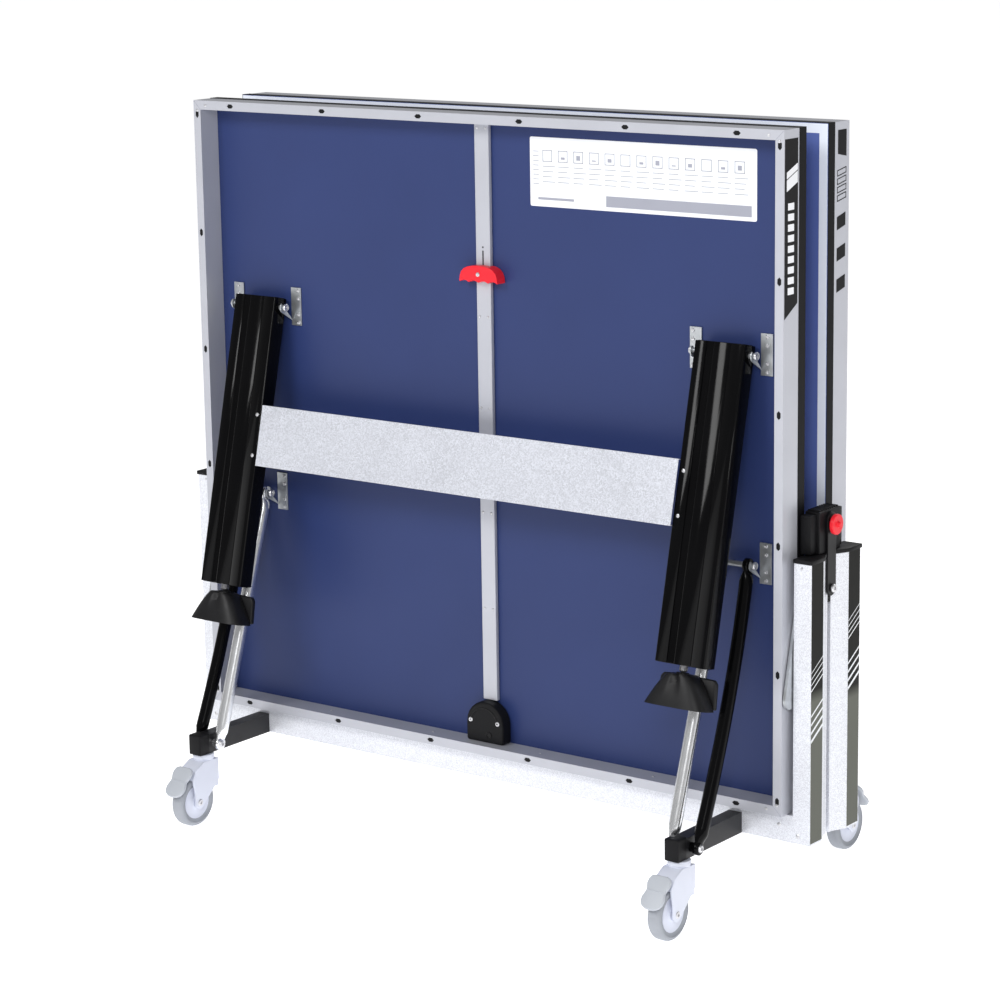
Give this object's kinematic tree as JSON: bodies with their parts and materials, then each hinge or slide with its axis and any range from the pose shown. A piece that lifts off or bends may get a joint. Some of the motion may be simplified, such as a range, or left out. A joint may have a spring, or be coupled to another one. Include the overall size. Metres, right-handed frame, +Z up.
{
  "type": "table tennis table",
  "caption": "Folding table tennis table on braked casters, stored upright with its two halves face to face, with linked swing arms, fold-out legs and screw feet.",
  "frame": {"origin": "on the floor, at the middle of the folded table", "axes": "+Z up, +X along the net, -Y towards the near half and +Y towards the far half"},
  "size_m": [1.6456, 0.8346, 1.587],
  "materials": {
    "top": "painted blue wood board, satin, with white court lines",
    "frame": "light silver-grey powder coat",
    "galvanised": "speckled galvanised sheet",
    "black": "satin black powder coat",
    "black_plastic": "moulded black plastic",
    "rubber": "moulded black rubber",
    "zinc": "zinc-plated steel",
    "bright": "bright-plated steel tube",
    "red": "red moulded plastic",
    "grey": "light grey moulded plastic",
    "tyre": "grey rubber tyre on a light hub"
  },
  "bodies": {
    "root": {"near_chassis": "frame", "far_chassis": "frame", "lock_housing_left": "black_plastic", "lock_plate_left": "black", "lock_housing_right": "black_plastic", "lock_plate_right": "black"},
    "near_swing_arms": {"near_swing_arm_left": "zinc", "near_swing_arm_right": "zinc"},
    "near_table": {"near_playing_top": "top", "near_frame": "frame", "near_centre_rail": "frame", "near_latch_housing": "black_plastic", "near_leg_bracket_left": "zinc", "near_leg_bracket_right": "zinc", "near_link_bracket_left": "zinc", "near_link_bracket_right": "zinc"},
    "near_legs": {"near_cross_panel": "galvanised", "near_leg_left": "black", "near_leg_right": "black"},
    "near_links": {"near_link_tube_left": "bright", "near_link_tube_right": "bright", "near_support_bar_left": "black", "near_support_bar_right": "black"},
    "near_release_handle": {"near_release_handle": "red"},
    "near_foot_left": {"near_foot_left": "rubber"},
    "near_caster_left": {"near_caster_fork_left": "grey"},
    "near_wheel_left": {"near_caster_wheel_left": "tyre"},
    "near_brake_left": {"near_brake_pedal_left": "grey"},
    "near_foot_right": {"near_foot_right": "rubber"},
    "near_caster_right": {"near_caster_fork_right": "grey"},
    "near_wheel_right": {"near_caster_wheel_right": "tyre"},
    "near_brake_right": {"near_brake_pedal_right": "grey"},
    "far_swing_arms": {"far_swing_arm_left": "zinc", "far_swing_arm_right": "zinc"},
    "far_table": {"far_playing_top": "top", "far_frame": "frame", "far_centre_rail": "frame", "far_latch_housing": "black_plastic", "far_leg_bracket_left": "zinc", "far_leg_bracket_right": "zinc", "far_link_bracket_left": "zinc", "far_link_bracket_right": "zinc"},
    "far_legs": {"far_cross_panel": "galvanised", "far_leg_left": "black", "far_leg_right": "black"},
    "far_links": {"far_link_tube_left": "bright", "far_link_tube_right": "bright", "far_support_bar_left": "black", "far_support_bar_right": "black"},
    "far_release_handle": {"far_release_handle": "red"},
    "far_foot_left": {"far_foot_left": "rubber"},
    "far_caster_left": {"far_caster_fork_left": "grey"},
    "far_wheel_left": {"far_caster_wheel_left": "tyre"},
    "far_brake_left": {"far_brake_pedal_left": "grey"},
    "far_foot_right": {"far_foot_right": "rubber"},
    "far_caster_right": {"far_caster_fork_right": "grey"},
    "far_wheel_right": {"far_caster_wheel_right": "tyre"},
    "far_brake_right": {"far_brake_pedal_right": "grey"},
    "lock_knob_left": {"lock_knob_left": "red"},
    "lock_knob_right": {"lock_knob_right": "red"}
  },
  "joints": [
    {"name": "near_swing", "type": "hinge", "parent": "root", "child": "near_swing_arms", "pos_m": [0, -0.055, 0.64533], "axis": [1, 0, 0], "range_deg": [-92.7, 0]},
    {"name": "near_fold", "type": "hinge", "parent": "near_swing_arms", "child": "near_table", "pos_m": [0, -0.101, 0.457], "axis": [1, 0, 0], "range_deg": [0, 182.65]},
    {"name": "near_links_swing", "type": "hinge", "parent": "near_table", "child": "near_links", "pos_m": [0, -0.098, 0.71829], "axis": [1, 0, 0], "range_deg": [-48.5, 0]},
    {"name": "near_legs_fold", "type": "hinge", "parent": "near_table", "child": "near_legs", "pos_m": [0, -0.096, 1.14], "axis": [1, 0, 0], "range_deg": [-76.8, 0]},
    {"name": "near_release", "type": "slide", "parent": "near_table", "child": "near_release_handle", "axis": [0, 0, 1], "range_m": [0, 0.012], "stiffness_N_per_m": 400, "springref_m": -0.006},
    {"name": "near_foot_left_screw", "type": "slide", "parent": "near_legs", "child": "near_foot_left", "axis": [0, -0.23, -0.9732], "range_m": [-0.012, 0.02]},
    {"name": "near_swivel_left", "type": "hinge", "parent": "root", "child": "near_caster_left", "pos_m": [-0.637, -0.3, 0.15], "axis": [0, 0, 1], "continuous": true},
    {"name": "near_roll_left", "type": "hinge", "parent": "near_caster_left", "child": "near_wheel_left", "pos_m": [-0.637, -0.34, 0.055], "axis": [1, 0, 0], "continuous": true},
    {"name": "near_brake_left_press", "type": "hinge", "parent": "near_caster_left", "child": "near_brake_left", "pos_m": [-0.637, -0.346, 0.1309], "axis": [-1, 0, 0], "range_deg": [0, 18]},
    {"name": "near_foot_right_screw", "type": "slide", "parent": "near_legs", "child": "near_foot_right", "axis": [0, -0.23, -0.9732], "range_m": [-0.012, 0.02]},
    {"name": "near_swivel_right", "type": "hinge", "parent": "root", "child": "near_caster_right", "pos_m": [0.637, -0.3, 0.15], "axis": [0, 0, 1], "continuous": true},
    {"name": "near_roll_right", "type": "hinge", "parent": "near_caster_right", "child": "near_wheel_right", "pos_m": [0.637, -0.34, 0.055], "axis": [1, 0, 0], "continuous": true},
    {"name": "near_brake_right_press", "type": "hinge", "parent": "near_caster_right", "child": "near_brake_right", "pos_m": [0.637, -0.346, 0.1309], "axis": [-1, 0, 0], "range_deg": [0, 18]},
    {"name": "far_swing", "type": "hinge", "parent": "root", "child": "far_swing_arms", "pos_m": [0, 0.055, 0.64533], "axis": [-1, 0, 0], "range_deg": [-92.7, 0]},
    {"name": "far_fold", "type": "hinge", "parent": "far_swing_arms", "child": "far_table", "pos_m": [0, 0.101, 0.457], "axis": [-1, 0, 0], "range_deg": [0, 182.65]},
    {"name": "far_links_swing", "type": "hinge", "parent": "far_table", "child": "far_links", "pos_m": [0, 0.098, 0.71829], "axis": [-1, 0, 0], "range_deg": [-48.5, 0]},
    {"name": "far_legs_fold", "type": "hinge", "parent": "far_table", "child": "far_legs", "pos_m": [0, 0.096, 1.14], "axis": [-1, 0, 0], "range_deg": [-76.8, 0]},
    {"name": "far_release", "type": "slide", "parent": "far_table", "child": "far_release_handle", "axis": [0, 0, 1], "range_m": [0, 0.012], "stiffness_N_per_m": 400, "springref_m": -0.006},
    {"name": "far_foot_left_screw", "type": "slide", "parent": "far_legs", "child": "far_foot_left", "axis": [0, 0.23, -0.9732], "range_m": [-0.012, 0.02]},
    {"name": "far_swivel_left", "type": "hinge", "parent": "root", "child": "far_caster_left", "pos_m": [0.637, 0.3, 0.15], "axis": [0, 0, 1], "continuous": true},
    {"name": "far_roll_left", "type": "hinge", "parent": "far_caster_left", "child": "far_wheel_left", "pos_m": [0.637, 0.34, 0.055], "axis": [-1, 0, 0], "continuous": true},
    {"name": "far_brake_left_press", "type": "hinge", "parent": "far_caster_left", "child": "far_brake_left", "pos_m": [0.637, 0.346, 0.1309], "axis": [1, 0, 0], "range_deg": [0, 18]},
    {"name": "far_foot_right_screw", "type": "slide", "parent": "far_legs", "child": "far_foot_right", "axis": [0, 0.23, -0.9732], "range_m": [-0.012, 0.02]},
    {"name": "far_swivel_right", "type": "hinge", "parent": "root", "child": "far_caster_right", "pos_m": [-0.637, 0.3, 0.15], "axis": [0, 0, 1], "continuous": true},
    {"name": "far_roll_right", "type": "hinge", "parent": "far_caster_right", "child": "far_wheel_right", "pos_m": [-0.637, 0.34, 0.055], "axis": [-1, 0, 0], "continuous": true},
    {"name": "far_brake_right_press", "type": "hinge", "parent": "far_caster_right", "child": "far_brake_right", "pos_m": [-0.637, 0.346, 0.1309], "axis": [1, 0, 0], "range_deg": [0, 18]},
    {"name": "lock_pull_left", "type": "slide", "parent": "root", "child": "lock_knob_left", "axis": [-1, 0, 0], "range_m": [0, 0.012], "stiffness_N_per_m": 600, "springref_m": -0.006},
    {"name": "lock_pull_right", "type": "slide", "parent": "root", "child": "lock_knob_right", "axis": [1, 0, 0], "range_m": [0, 0.012], "stiffness_N_per_m": 600, "springref_m": -0.006}
  ],
  "couplings": [
    {"joint": "near_swing", "follows": "near_fold", "ratio": -0.50726},
    {"joint": "near_links_swing", "follows": "near_fold", "ratio": -0.26518},
    {"joint": "near_legs_fold", "follows": "near_fold", "ratio": -0.41992},
    {"joint": "far_swing", "follows": "far_fold", "ratio": -0.50726},
    {"joint": "far_links_swing", "follows": "far_fold", "ratio": -0.26518},
    {"joint": "far_legs_fold", "follows": "far_fold", "ratio": -0.41992}
  ]
}
